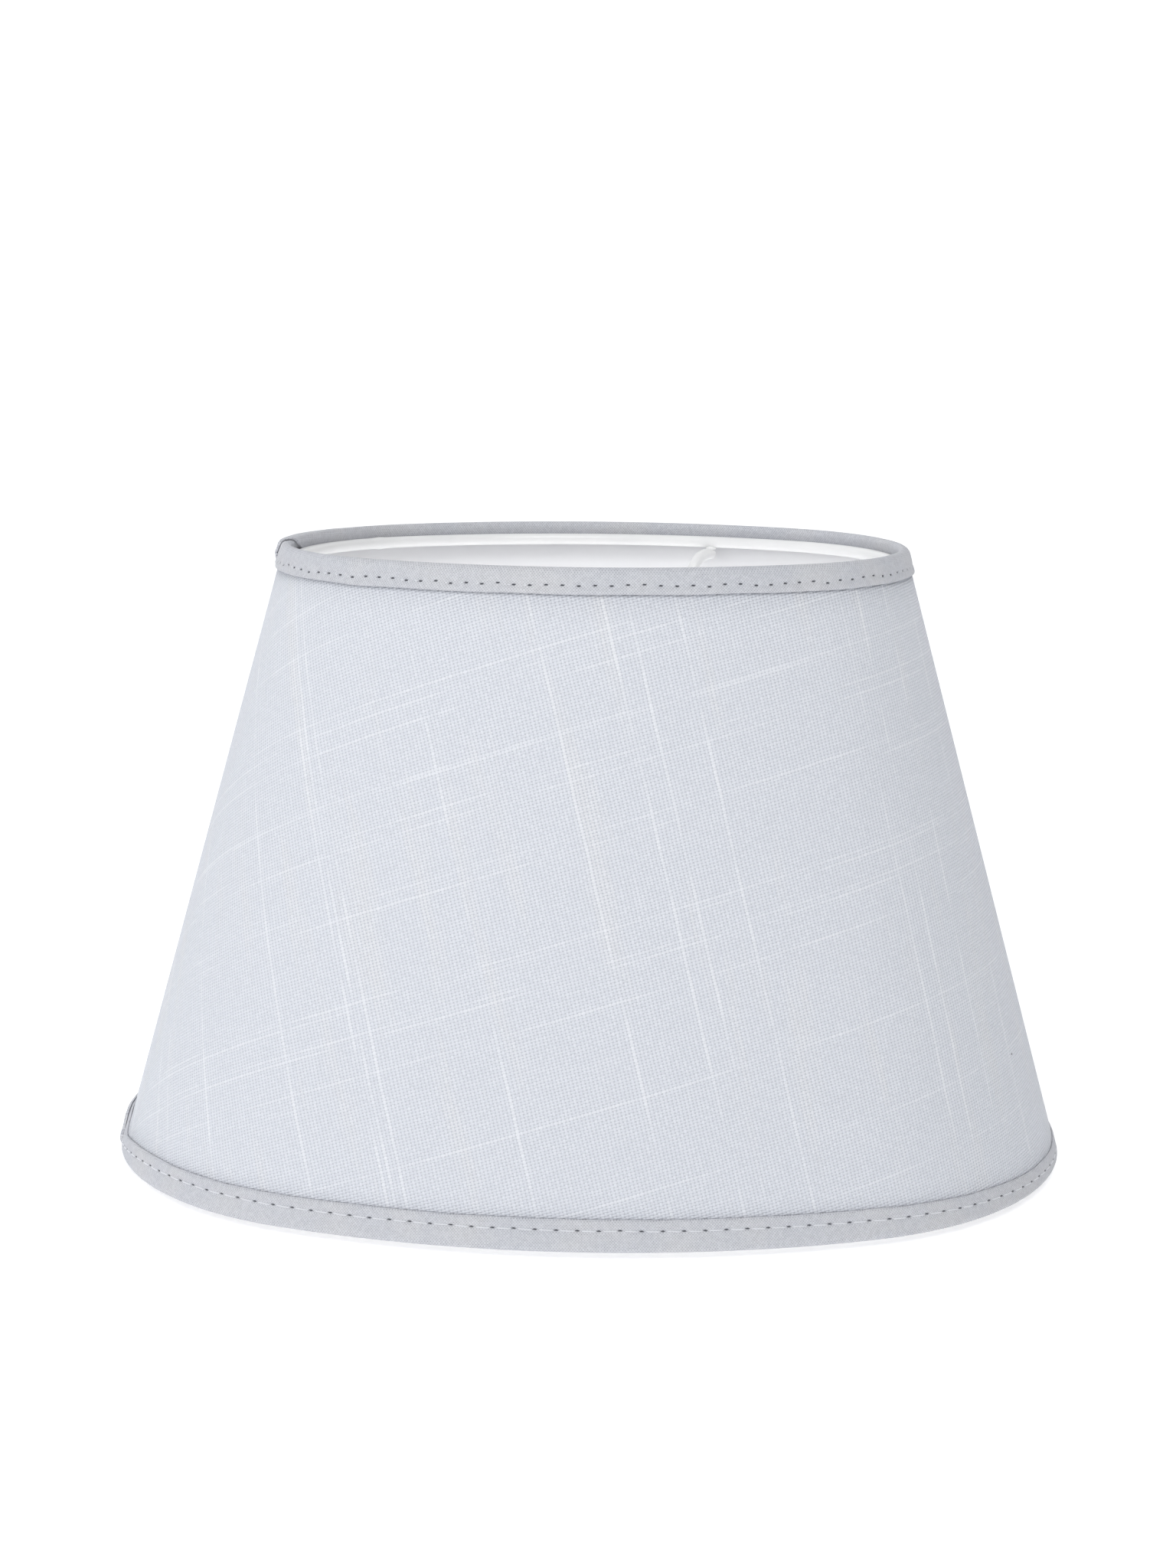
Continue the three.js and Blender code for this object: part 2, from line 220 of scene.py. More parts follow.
class Finish:
    """A material with one Principled shader, and short names for the nodes that feed it."""

    def __init__(self, name, colour, roughness):
        self.material = bpy.data.materials.new(name)
        self.material.use_nodes = True
        self.tree = self.material.node_tree
        self.shader = self.tree.nodes["Principled BSDF"]
        self.shader.inputs["Base Color"].default_value = (*colour, 1)
        self.shader.inputs["Roughness"].default_value = roughness

    def feed(self, socket, value):
        if isinstance(value, bpy.types.NodeSocket):
            self.tree.links.new(value, socket)
        else:
            socket.default_value = value

    def node(self, kind, feeds=(), **settings):
        made = self.tree.nodes.new(kind)
        for key, value in settings.items():
            setattr(made, key, value)
        for socket, value in zip(made.inputs, feeds):
            self.feed(socket, value)
        return made

    def maths(self, operation, a, b=0.0, c=0.0):
        return self.node("ShaderNodeMath", (a, b, c), operation=operation).outputs[0]

    def between(self, value, low, high, to_low=0.0, to_high=1.0):
        feeds = (value, low, high, to_low, to_high)
        return self.node("ShaderNodeMapRange", feeds, interpolation_type="SMOOTHSTEP").outputs[0]

    def mixed(self, share, a, b):
        made = self.node("ShaderNodeMix", data_type="RGBA")
        for socket, value in (("Factor", share), ("A", a), ("B", b)):
            self.feed(made.inputs[socket], value if isinstance(value, (float, bpy.types.NodeSocket)) else (*value, 1))
        return made.outputs["Result"]

    def place(self, x, y, z=0.0):
        return self.node("ShaderNodeCombineXYZ", (x, y, z)).outputs[0]

    def cloudy(self, place, scale, detail=2.0):
        made = self.node("ShaderNodeTexNoise")
        self.feed(made.inputs["Vector"], place)
        made.inputs["Scale"].default_value = scale
        made.inputs["Detail"].default_value = detail
        return made.outputs["Fac"]

    def chance(self, place):
        return self.node("ShaderNodeTexWhiteNoise", (place,)).outputs["Value"]

    def object_place(self):
        return self.node("ShaderNodeTexCoord").outputs["Object"]

    def cloth_place(self):
        """Metres along and across the flat cloth, as x, y and both together."""
        both = self.node("ShaderNodeUVMap", uv_map="cloth").outputs["UV"]
        apart = self.node("ShaderNodeSeparateXYZ", (both,))
        return apart.outputs["X"], apart.outputs["Y"], both

    def bumped(self, height, distance):
        made = self.node("ShaderNodeBump")
        made.inputs["Distance"].default_value = distance
        self.feed(made.inputs["Height"], height)
        self.feed(self.shader.inputs["Normal"], made.outputs["Normal"])

    def coloured(self, colour):
        self.feed(self.shader.inputs["Base Color"], colour)

    def set(self, **sockets):
        for name, value in sockets.items():
            self.shader.inputs[name.replace("_", " ")].default_value = value


def counted_threads(cloth, x, y, lean, pitch, sway):
    """Counts threads across the cloth: the running count, its whole part and the place within one thread."""
    across = cloth.maths("MULTIPLY", x, cos(lean) / pitch)
    count = cloth.maths("ADD", cloth.maths("MULTIPLY_ADD", y, sin(lean) / pitch, across), sway)
    whole = cloth.maths("FLOOR", count)
    inside = cloth.maths("SUBTRACT", cloth.maths("FRACT", count), 0.5)
    return count, whole, inside


def thread_back(cloth, inside, half_width):
    """The height of a round thread: 1 along its middle and 0 beyond its edges."""
    share = cloth.maths("DIVIDE", inside, half_width)
    return cloth.maths("SQRT", cloth.maths("MAXIMUM", cloth.maths("MULTIPLY_ADD", share, cloth.maths("MULTIPLY", share, -1.0), 1.0), 0.0))


def crossing(cloth, back, count, neighbour, swing):
    """A thread's height as it passes over one neighbour and under the next."""
    phase = cloth.maths("MULTIPLY", cloth.maths("ADD", cloth.maths("SUBTRACT", count, 0.5), neighbour), pi)
    return cloth.maths("MULTIPLY", back, cloth.maths("MULTIPLY_ADD", cloth.maths("COSINE", phase), swing, 1.0))


WARP_PITCH = 0.94 * MM
WEFT_PITCH = 0.747 * MM
WARP_LEAN = radians(14.1)
WEFT_LEAN = radians(107.5)


def linen_cloth():
    """Plain weave with uneven threads both ways, some of them slubby for long runs, and a few dark specks."""
    linen = Finish("linen_cloth", (0.76, 0.78, 0.82), 0.92)
    x, y, place = linen.cloth_place()
    warp_sway = linen.maths("MULTIPLY_ADD", linen.cloudy(place, 45.0), 0.9, -0.45)
    weft_sway = linen.maths("MULTIPLY_ADD", linen.cloudy(place, 70.0), 0.7, -0.35)
    warp, warp_number, in_warp = counted_threads(linen, x, y, WARP_LEAN, WARP_PITCH, warp_sway)
    weft, weft_number, in_weft = counted_threads(linen, x, y, WEFT_LEAN, WEFT_PITCH, weft_sway)

    # One thread in a dozen is a slub, which comes and goes along its length.
    slubs, uneven = [], []
    for number, other, share, aside in ((warp_number, weft, 0.94, 0.0), (weft_number, warp, 0.92, 9.0)):
        run = linen.place(linen.maths("MULTIPLY", number, 7.31), linen.maths("MULTIPLY", other, 0.03), aside)
        chosen = linen.maths("GREATER_THAN", linen.chance(linen.place(number, aside)), share)
        slubs.append(linen.maths("MULTIPLY", chosen, linen.between(linen.cloudy(run, 1.0, 3.0), 0.36, 0.62)))
        fibre = linen.place(linen.maths("MULTIPLY", number, 3.7), linen.maths("MULTIPLY", other, 0.7), aside)
        uneven.append(linen.cloudy(fibre, 1.0, 3.0))
    backs = []
    for inside, slub, waver in ((in_warp, slubs[0], uneven[0]), (in_weft, slubs[1], uneven[1])):
        plain = linen.maths("MULTIPLY_ADD", waver, 0.16, 0.31)
        backs.append(thread_back(linen, inside, linen.maths("MULTIPLY_ADD", slub, 0.1, plain)))
    over = crossing(linen, backs[0], weft, warp_number, 0.55)
    under = crossing(linen, backs[1], warp, weft_number, -0.55)
    height = linen.maths("MAXIMUM", over, under)

    # Gaps between threads are darkened as painted shade, slubs are lighter, and bands of the yarn are creamier than
    # the rest.
    slub = linen.maths("MAXIMUM", slubs[0], linen.maths("MULTIPLY", slubs[1], 0.7))
    band = linen.place(linen.maths("MULTIPLY", warp_number, 0.13), linen.maths("MULTIPLY", weft, 0.012), 4.0)
    creamy = linen.between(linen.cloudy(band, 1.0, 3.0), 0.52, 0.72)
    yarn = linen.mixed(creamy, (0.735, 0.755, 0.81), (0.76, 0.77, 0.805))
    each = linen.chance(linen.place(warp_number, weft_number, 2.0))
    yarn = linen.mixed(linen.maths("MULTIPLY", each, 0.35), yarn, (0.86, 0.875, 0.92))
    yarn = linen.mixed(linen.maths("MULTIPLY", slub, 0.42), yarn, (0.905, 0.915, 0.945))
    colour = linen.mixed(linen.between(height, 0.15, 1.15), (0.59, 0.61, 0.665), yarn)
    speck = linen.maths("GREATER_THAN", linen.chance(linen.place(warp_number, weft_number)), 0.99994)
    speck = linen.maths("MULTIPLY", speck, linen.maths("LESS_THAN", linen.maths("ABSOLUTE", in_weft), 0.25))
    linen.coloured(linen.mixed(speck, colour, (0.22, 0.22, 0.24)))
    linen.bumped(linen.maths("MULTIPLY_ADD", slub, 0.35, height), 0.13 * MM)
    linen.set(Specular_IOR_Level=0.25, Sheen_Weight=0.12, Sheen_Roughness=0.5)
    return linen.material


def flat_area():
    """The area of the cut strip, laid flat."""
    share = CLOTH_EDGE / WALL_HEIGHT
    total = 0
    for (b0, t0), (b1, t1) in zip(RULINGS, RULINGS[1:]):
        corners = [b0.lerp(t0, share), b1.lerp(t1, share), b1.lerp(t1, 1 - share), b0.lerp(t0, 1 - share)]
        total += abs(sum(p.cross(q) for p, q in zip(corners, corners[1:] + corners[:1]))) / 2
    return total


def flat_size():
    xs = [point.x for pair in RULINGS for point in pair]
    ys = [point.y for pair in RULINGS for point in pair]
    return max(xs) - min(xs), max(ys) - min(ys)


cover = thickened(add_object("linen_cover", wall_strip(0), linen_cloth()), COVER_THICKNESS)
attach(cover, "shade")
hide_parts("cover")
flat_size()
flat_area()


# ------------------------------------------------------------------ liner
# A sheet of white satin plastic, glued behind the cloth and lapped with it. It shows inside the shade.


def liner_plastic():
    plastic = Finish("liner_plastic", (0.95, 0.95, 0.96), 0.45)
    place = plastic.object_place()
    mottle = plastic.between(plastic.cloudy(place, 30.0, 3.0), 0.3, 0.7)
    grain = plastic.cloudy(place, 900.0, 3.0)
    plastic.coloured(plastic.mixed(mottle, (0.955, 0.955, 0.965), (0.93, 0.93, 0.945)))
    plastic.feed(plastic.shader.inputs["Roughness"], plastic.between(grain, 0.3, 0.7, 0.42, 0.52))
    plastic.bumped(grain, 0.01 * MM)
    return plastic.material


liner_strip = wall_strip(-COVER_THICKNESS - GLUE_LINE)
liner = thickened(add_object("plastic_liner", liner_strip, liner_plastic()), LINER_THICKNESS)
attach(liner, "shade")
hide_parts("liner")


# ------------------------------------------------------------------ bindings
# Each edge is bound with plain cotton tape cut on the bias, its sides turned in, folded over the wall and sewn
# through. It comes once round; at the left its slanting end lies on its own start.

TAPE_THICKNESS = 0.85 * MM
TAPE_SLOT = WALL_THICKNESS / 2 + 0.05 * MM
TAPE_FOLD_CENTRE = TAPE_THICKNESS + TAPE_SLOT
TAPE_MEAN_FOLD = TAPE_SLOT + TAPE_THICKNESS / 2
TAPE_HEM_ROLL = 0.55 * MM
TAPE_START = radians(158)
TAPE_SLANT = 1.5
TAPE_SHEAR_RUN = 40 * MM

# Distance walked round an oval against the angle of its normal, over two turns.
WALK_ANGLES = np.linspace(0, 2 * tau, 2881)


def walk_round(oval):
    sines = np.abs(np.sin((WALK_ANGLES[1:] + WALK_ANGLES[:-1]) / 2))
    radii = np.where(sines <= turning_sine(oval), end_radius(oval), side_radius(oval))
    return np.concatenate([[0], np.cumsum(radii * np.diff(WALK_ANGLES))])


def rounded_stations(length, roll, middle):
    """(distance, fullness) along something whose two ends are rounded over."""
    turns = [i * pi / 8 for i in range(4)]
    first = [(roll * (1 - cos(turn)), sin(turn)) for turn in turns]
    last = [(length - distance, fullness) for distance, fullness in reversed(first)]
    return first + [(distance, 1) for distance in middle] + last


class Binding:
    """One edge's tape: where it lies, how it laps itself, and where it is sewn."""

    def __init__(self, oval, at_top, outer_depth, inner_depth, seam_depth, stitch, wander, end, doubling, slack, droop, pull):
        self.at_top = at_top
        self.end_angle, self.tip, self.hem_slant, self.inner_slant = end
        self.doubling = doubling
        self.slack, self.most_slack = slack
        self.most_droop = droop
        self.right_pull = pull
        self.outer_leg = outer_depth - TAPE_FOLD_CENTRE
        self.fold = pi * TAPE_MEAN_FOLD
        self.width = self.outer_leg + self.fold + inner_depth - TAPE_FOLD_CENTRE
        self.seam = outer_depth - seam_depth
        self.wander = wander
        self.walk = walk_round(oval)
        self.turn = self.walk[len(self.walk) // 2]
        self.stitches = round(self.turn / stitch)
        self.stitch = self.turn / self.stitches
        self.start = np.interp(TAPE_START, WALK_ANGLES, self.walk)
        self.stop = np.interp(tau + self.end_angle, WALK_ANGLES, self.walk)
        self.droop_from = np.interp(radians(190), WALK_ANGLES, self.walk)

    def point(self, walked, across, lift):
        """So far along the tape, so far across it from its outer hem, and so far off the wall."""
        across += self.slip(walked)
        turn = min(max((across - self.outer_leg) / TAPE_MEAN_FOLD, 0), pi)
        reach = TAPE_SLOT + lift * (1 - 0.5 * self.stretch(walked))
        straight = max(self.outer_leg - across, 0) + max(across - self.outer_leg - self.fold, 0)
        deep = TAPE_FOLD_CENTRE - reach * sin(turn) + straight
        angle = float(np.interp(walked, self.walk, WALK_ANGLES))
        outside = min(max(0.5 + 0.8 * cos(turn), 0), 1)
        outward = reach * cos(turn) - WALL_THICKNESS / 2 + outside * self.wall_rise(angle)
        deep -= self.droop(walked)
        return wall_point(angle, outward, WALL_HEIGHT - deep if self.at_top else deep)

    def beyond_lap(self, walked):
        """The signed distance past the lap, the short way round."""
        return (walked + self.turn / 2 - self.droop_from) % self.turn - self.turn / 2

    def stretch(self, walked):
        """How tightly the tape is drawn over the right end, where it lies thin and flat."""
        from_right = abs(self.beyond_lap(walked)) - 0.47 * self.turn
        return self.right_pull * exp(-((from_right / (64 * MM)) ** 2))

    def slip(self, walked):
        """How far the tape has crept round the edge of the wall, which is most at the two round ends."""
        at_lap = exp(-(hypot(self.beyond_lap(walked), 6 * MM) - 6 * MM) / (16 * MM))
        return self.slack + (self.most_slack - self.slack) * max(at_lap, 0.8 * self.stretch(walked))

    def droop(self, walked):
        """How far the fold hangs off the edge of the wall, where the tape is loose at its lap."""
        beyond = self.beyond_lap(walked)
        return self.most_droop * ramp(beyond, -55 * MM, 0) * exp(-max(beyond, 0) / (30 * MM))

    def end_slide(self, across):
        """How far back from its foremost tip the slanting end of the tape lies."""
        off = across - self.tip
        slant = self.inner_slant if off > 0 else self.hem_slant
        return slant * (hypot(off, 0.6 * MM) - 0.6 * MM)

    def wall_rise(self, angle):
        """How far the wall's own lap pushes the tape's outer side outwards."""
        angle = angle % tau
        up = ramp(angle, LAP_FROM - LAP_RAMP, LAP_FROM)
        return LAP_RISE * (up - ramp(angle, LAP_TO, LAP_TO + LAP_RAMP / 2))

    def faces(self, walked, across):
        """The lifts of the tape's inner and outer faces, before any stitch pulls it in."""
        turn = min(max((across - self.outer_leg) / TAPE_MEAN_FOLD, 0), pi)
        both = TAPE_THICKNESS + self.doubling * abs(cos(turn))
        gap = 0.03 * MM
        end = self.stop - self.end_slide(across)
        if walked - self.start < self.turn / 2:
            bare = walked - (end - self.turn)
            outer = both / 2 - gap
            return 0, outer + (TAPE_THICKNESS - outer) * ramp(bare, 0.6 * MM, 8 * MM)
        climb = ramp(walked - (self.start - TAPE_SLANT * across + self.turn), -9 * MM, 0)
        flick = 0.12 * MM * ramp(walked - end, -2.5 * MM, 0)
        inner = (both / 2 + gap) * climb + flick
        return inner, TAPE_THICKNESS + (both - TAPE_THICKNESS) * climb + flick

    def hole_drift(self, number):
        """How far one needle hole strays from the seam's line."""
        number = number % self.stitches
        return self.wander * noise.noise(Vector((number * 0.83, 3.7, 1.3))) * 2

    def pull(self, walked, across):
        """How far the stitches draw the outer face in, and how deep in a needle hole it is."""
        phase = walked / self.stitch
        number = floor(phase)
        near = (phase - number - 0.1) * self.stitch
        off = across - self.seam
        to_hole = off - self.hole_drift(number)
        hole = exp(-((near / (0.6 * MM)) ** 4) - (to_hole / (0.25 * MM)) ** 2)
        groove = exp(-((off / (0.55 * MM)) ** 2))
        slanting = cos(tau * (phase - 0.1) - off / (0.8 * MM))
        pucker = slanting * exp(-((off / (1.7 * MM)) ** 2))
        return (0.14 * groove + 0.42 * hole + 0.03 * pucker) * MM, hole

    def rows(self):
        """Places across the tape, close together at the seam and wide apart inside the shade."""
        places = [TAPE_HEM_ROLL]
        while places[-1] < self.width - TAPE_HEM_ROLL:
            beside_seam = abs(places[-1] - self.seam) < 0.7 * MM
            inside = places[-1] > self.outer_leg + self.fold
            places.append(places[-1] + (0.14 if beside_seam else 0.9 if inside else 0.45) * MM)
        stretch = (self.width - 2 * TAPE_HEM_ROLL) / (places[-1] - TAPE_HEM_ROLL)
        return [TAPE_HEM_ROLL + (place - TAPE_HEM_ROLL) * stretch for place in places]

    def tape(self, steps_per_stitch):
        """The tape's closed surface. Its cut ends are slanted by sliding the rows near each end."""
        rows = rounded_stations(self.width, TAPE_HEM_ROLL, self.rows())
        back = rounded_stations(self.width, TAPE_HEM_ROLL, self.rows()[::4])[-2:0:-1]
        rim = [(*row, True) for row in rows] + [(*row, False) for row in back] + [(*rows[0], True)]
        length = self.stop - self.start
        step = self.stitch / steps_per_stitch
        columns = np.arange(TAPE_HEM_ROLL, length - TAPE_HEM_ROLL, step)
        along = rounded_stations(length, TAPE_HEM_ROLL, columns)

        def walked(i, across):
            distance = along[i][0]
            near_start = max(1 - distance / TAPE_SHEAR_RUN, 0)
            near_end = max(1 - (length - distance) / TAPE_SHEAR_RUN, 0)
            return self.start + distance - TAPE_SLANT * across * near_start - self.end_slide(across) * near_end

        def place(i, j):
            across, fullness, outside = rim[j]
            at = walked(i, across)
            inner, outer = self.faces(at, across)
            outer -= self.pull(at, across)[0]
            lift = inner + (outer - inner) * fullness * along[i][1] * outside
            wave = noise.noise(Vector((at / (13 * MM), 8.1, 0))) * 0.22 * MM
            return self.point(at, across + wave * max(1 - across / self.outer_leg, 0), lift)

        def chart(i, j):
            return walked(i, rim[j][0]), rim[j][0]

        def hole(i, j):
            return self.pull(walked(i, rim[j][0]), rim[j][0])[1]

        return rolled(len(along) - 1, len(rim) - 1, place, chart, hole)

    def flat(self):
        return self.stop - self.start, self.width


TAPE_PITCH = 0.5 * MM


def bias_cotton():
    """Fine plain weave lying at 45 degrees, greyer than the cover, with painted shade between its threads and inside
    the needle holes.
    """
    cotton = Finish("bias_cotton", (0.6, 0.61, 0.65), 0.9)
    x, y, place = cotton.cloth_place()
    sway = cotton.maths("MULTIPLY_ADD", cotton.cloudy(place, 160.0), 0.8, -0.4)
    one, one_number, in_one = counted_threads(cotton, x, y, radians(43), TAPE_PITCH, sway)
    two, two_number, in_two = counted_threads(cotton, x, y, radians(133), TAPE_PITCH, sway)
    over = crossing(cotton, thread_back(cotton, in_one, 0.43), two, one_number, 0.5)
    under = crossing(cotton, thread_back(cotton, in_two, 0.43), one, two_number, -0.5)
    height = cotton.maths("MAXIMUM", over, under)
    each = cotton.chance(cotton.place(one_number, two_number))
    uneven = cotton.between(cotton.cloudy(place, 60.0, 3.0), 0.35, 0.7)
    yarn = cotton.mixed(uneven, (0.585, 0.595, 0.64), (0.62, 0.62, 0.645))
    yarn = cotton.mixed(cotton.maths("MULTIPLY", each, 0.3), yarn, (0.8, 0.81, 0.84))
    # Painted shade: the low places between threads are mixed towards these dark greys.
    gap = cotton.mixed(each, (0.24, 0.25, 0.28), (0.46, 0.47, 0.51))
    colour = cotton.mixed(cotton.between(height, 0.1, 1.0), gap, yarn)
    # Painted shade: inside each needle hole the colour goes almost black.
    hole = cotton.node("ShaderNodeAttribute", attribute_name="needle_hole_shade").outputs["Fac"]
    cotton.coloured(cotton.mixed(cotton.between(hole, 0.25, 0.8), colour, (0.12, 0.125, 0.14)))
    cotton.bumped(height, 0.08 * MM)
    cotton.set(Specular_IOR_Level=0.25, Sheen_Weight=0.1, Sheen_Roughness=0.5)
    return cotton.material


bottom_edge = Binding(
    oval=BASE_OVAL,
    at_top=False,
    outer_depth=8.2 * MM,
    inner_depth=7.6 * MM,
    seam_depth=5.7 * MM,
    stitch=5.1 * MM,
    wander=0.08 * MM,
    end=(radians(190), 6 * MM, 2.2, 1.5),
    doubling=0.75 * MM,
    slack=(0.3 * MM, 4 * MM),
    droop=1.5 * MM,
    pull=1,
)
top_edge = Binding(
    oval=TOP_OVAL,
    at_top=True,
    outer_depth=6.3 * MM,
    inner_depth=5.8 * MM,
    seam_depth=4.2 * MM,
    stitch=3.75 * MM,
    wander=0.3 * MM,
    end=(radians(183), 4.9 * MM, 2.0, 2.8),
    doubling=0.5 * MM,
    slack=(0, 0),
    droop=0,
    pull=0,
)
tape_finish = bias_cotton()

bottom_tape = add_object("bottom_tape", bottom_edge.tape(10), tape_finish)
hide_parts("bottom_binding")
top_tape = add_object("top_tape", top_edge.tape(8), tape_finish)
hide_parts("top_binding")
for tape, edge in ((bottom_tape, bottom_edge), (top_tape, top_edge)):
    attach(tape, "shade")
    edge.flat()


# ------------------------------------------------------------------ seam threads
# White polyester sewing thread. Each stitch comes up out of one needle hole, lies along the tape and goes down
# the next hole, so it is one thread that dips out of sight at every hole.

THREAD_RADIUS = 0.17 * MM
THREAD_SIDES = 6
STITCH_STEPS = 10


def seam_thread(edge, hole_length, sunk):
    hole_lift = 0.1 * TAPE_THICKNESS
    from_start = edge.stop - edge.end_slide(edge.seam) - edge.turn
    first = floor(from_start / edge.stitch) + 1

    def place(i, j):
        number, step = divmod(i, STITCH_STEPS)
        share = step / STITCH_STEPS
        walked = (first + number + share) * edge.stitch
        on_tape = min(max(walked, from_start), from_start + edge.turn)
        drift = edge.hole_drift(first + number) * (1 - share) + edge.hole_drift(first + number + 1) * share
        across = edge.seam + drift + 0.12 * MM * (share - 0.5)
        top = edge.faces(on_tape, across)[1] - sunk
        shown = ramp(share, 0.16, hole_length) * (1 - ramp(share, 0.9, 1.0))
        lift = hole_lift + (top - hole_lift) * shown
        turn = tau * j / THREAD_SIDES
        return edge.point(walked, across + THREAD_RADIUS * cos(turn), lift + THREAD_RADIUS * sin(turn))

    def chart(i, j):
        return i / STITCH_STEPS * edge.stitch, j / THREAD_SIDES * tau * THREAD_RADIUS

    return rolled(edge.stitches * STITCH_STEPS, THREAD_SIDES, place, chart)


def sewing_thread():
    """Two plies twisted together, with painted shade in the groove between them."""
    polyester = Finish("sewing_thread", (0.78, 0.79, 0.83), 0.6)
    x, y, place = polyester.cloth_place()
    plies, number, inside = counted_threads(polyester, x, y, radians(40), 0.33 * MM, 0.0)
    back = thread_back(polyester, inside, 0.5)
    # Painted shade: each ply is darker towards its edges, in the groove between the plies.
    shaded = polyester.between(back, 0.0, 0.8)
    polyester.coloured(polyester.mixed(shaded, (0.6, 0.61, 0.65), (0.8, 0.81, 0.85)))
    polyester.bumped(back, 0.05 * MM)
    polyester.set(Sheen_Weight=0.1)
    return polyester.material


thread_finish = sewing_thread()
bottom_thread = add_object("bottom_thread", seam_thread(bottom_edge, 0.38, 0.11 * MM), thread_finish)
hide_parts("bottom_seam_thread")
top_thread = add_object("top_thread", seam_thread(top_edge, 0.5, 0.27 * MM), thread_finish)
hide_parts("top_seam_thread")
for thread in (bottom_thread, top_thread):
    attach(thread, "shade")


# ------------------------------------------------------------------ wire rings
# Two hoops of 3 mm steel wire bent to the oval, butt welded, coated white, and held inside the bindings by the
# wall's taper. They keep the shade's shape.

WIRE_RADIUS = 1.5 * MM
WIRE_GAP = 0.15 * MM
WIRE_SIDES = 14
LEAN = atan2(BASE_OVAL[0] - TOP_OVAL[0], WALL_HEIGHT)
RING_INSET = WALL_THICKNESS / 2 + TAPE_SLOT + TAPE_THICKNESS + (WIRE_RADIUS + WIRE_GAP) / cos(LEAN)
TOP_RING_LEVEL = WALL_HEIGHT - 4.6 * MM
BOTTOM_RING_LEVEL = 5.2 * MM


def wire_ring(oval, level, weld_angle):
    steps = 400
    walk = walk_round(oval)
    turn = walk[len(walk) // 2]
    weld = np.interp(weld_angle, WALK_ANGLES, walk)

    def place(i, j):
        walked = turn * i / steps
        angle = float(np.interp(walked, walk, WALK_ANGLES))
        bead = 1 + 0.13 * exp(-(((walked - weld) / (1.3 * MM)) ** 2))
        round_turn = tau * j / WIRE_SIDES
        outward = -RING_INSET + bead * WIRE_RADIUS * cos(round_turn)
        return wall_point(angle, outward, level + bead * WIRE_RADIUS * sin(round_turn), level)

    return rolled(steps, WIRE_SIDES, place)


def white_coat():
    """Baked powder coat with a slight orange peel."""
    coat = Finish("white_coat", (0.90, 0.90, 0.895), 0.35)
    place = coat.object_place()
    peel = coat.cloudy(place, 700.0, 2.0)
    coat.coloured(coat.mixed(coat.between(coat.cloudy(place, 60.0, 3.0), 0.35, 0.7), (0.91, 0.91, 0.905), (0.87, 0.87, 0.87)))
    coat.feed(coat.shader.inputs["Roughness"], coat.between(peel, 0.3, 0.7, 0.3, 0.42))
    coat.bumped(peel, 0.03 * MM)
    coat.set(Coat_Weight=0.25, Coat_Roughness=0.15)
    return coat.material


def outward_facing(shape):
    bmesh.ops.recalc_face_normals(shape, faces=shape.faces)
    return shape


coat_finish = white_coat()
for name, node, oval, level in (
    ("top_wire", "top_ring", TOP_OVAL, TOP_RING_LEVEL),
    ("bottom_wire", "bottom_ring", BASE_OVAL, BOTTOM_RING_LEVEL),
):
    ring = add_object(name, outward_facing(wire_ring(oval, level, radians(128))), coat_finish)
    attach(ring, "shade")
    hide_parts(node)


# ------------------------------------------------------------------ arms
# Three lengths of the same wire, each bent twice. One end is welded under the top ring and the other to the hub
# band, so the arms hang the shade from the hub.

AXIS_HEIGHT = WALL_HEIGHT - 30 * MM
HUB_OUTER_RADIUS = 31.49 * MM
ARM_SHELF = 8 * MM
ARMS = {"arm_left": 180, "arm_front_right": -75, "arm_back_right": 75}


def bent_path(corners, bend, arc_steps):
    """A chain of points through the corners, each inner corner rounded off over the length bend."""
    path = [corners[0]]
    for before, corner, after in zip(corners, corners[1:], corners[2:]):
        entry = corner + (before - corner).normalized() * bend
        leave = corner + (after - corner).normalized() * bend
        for i in range(arc_steps + 1):
            t = i / arc_steps
            path.append(entry.lerp(corner, t).lerp(corner.lerp(leave, t), t))
    return path + [corners[-1]]


